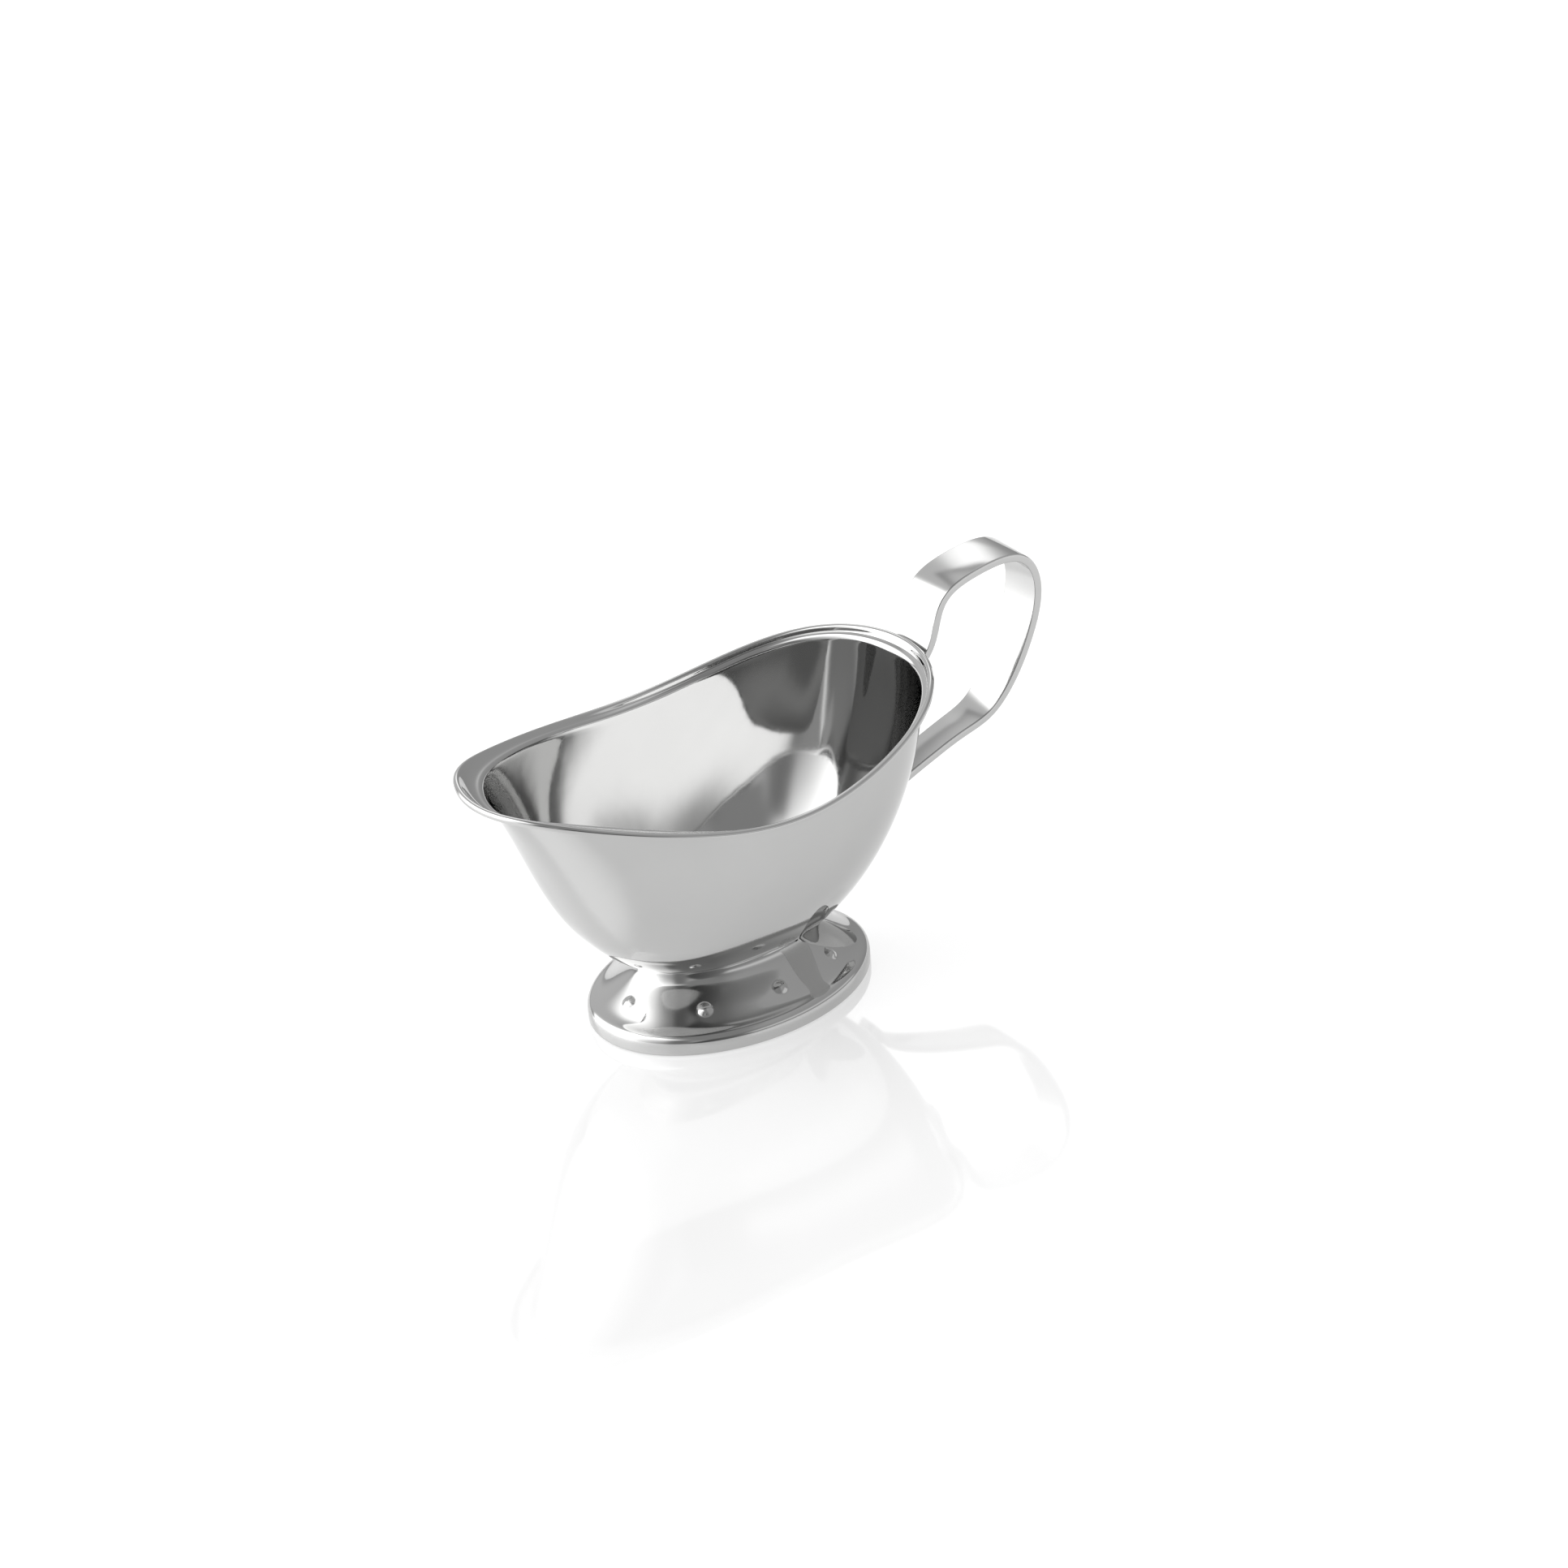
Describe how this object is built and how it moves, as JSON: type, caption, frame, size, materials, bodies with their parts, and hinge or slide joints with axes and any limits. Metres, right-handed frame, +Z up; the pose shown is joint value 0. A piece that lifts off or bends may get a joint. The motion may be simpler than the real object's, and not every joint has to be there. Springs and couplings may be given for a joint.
{
  "type": "gravy boat",
  "caption": "Footed steel gravy boat: open oval bowl with a flared rolled rim and a long pouring lip, a hollow oval foot and a bent strip handle, for serving sauce.",
  "frame": {"origin": "middle of the whole object's length and width, on the floor it stands on", "axes": "+Z up, +X from the pouring lip towards the handle, +Y across the boat, which is symmetric about y = 0"},
  "size_m": [0.1895, 0.0876, 0.1037],
  "materials": {
    "bowl_polished_steel": "mirror-polished stainless steel with fine wiping marks",
    "foot_polished_steel": "mirror-polished stainless steel",
    "handle_polished_steel": "polished stainless steel strip with faint lengthwise grain",
    "weld_metal": "dull resistance-weld metal"
  },
  "bodies": {
    "root": {"bowl": "bowl_polished_steel", "foot": "foot_polished_steel", "handle": "handle_polished_steel", "handle_upper_weld_left": "weld_metal", "handle_upper_weld_right": "weld_metal", "handle_lower_weld_top": "weld_metal", "handle_lower_weld_bottom": "weld_metal", "foot_weld_1": "weld_metal", "foot_weld_2": "weld_metal", "foot_weld_3": "weld_metal", "foot_weld_4": "weld_metal"}
  },
  "joints": []
}
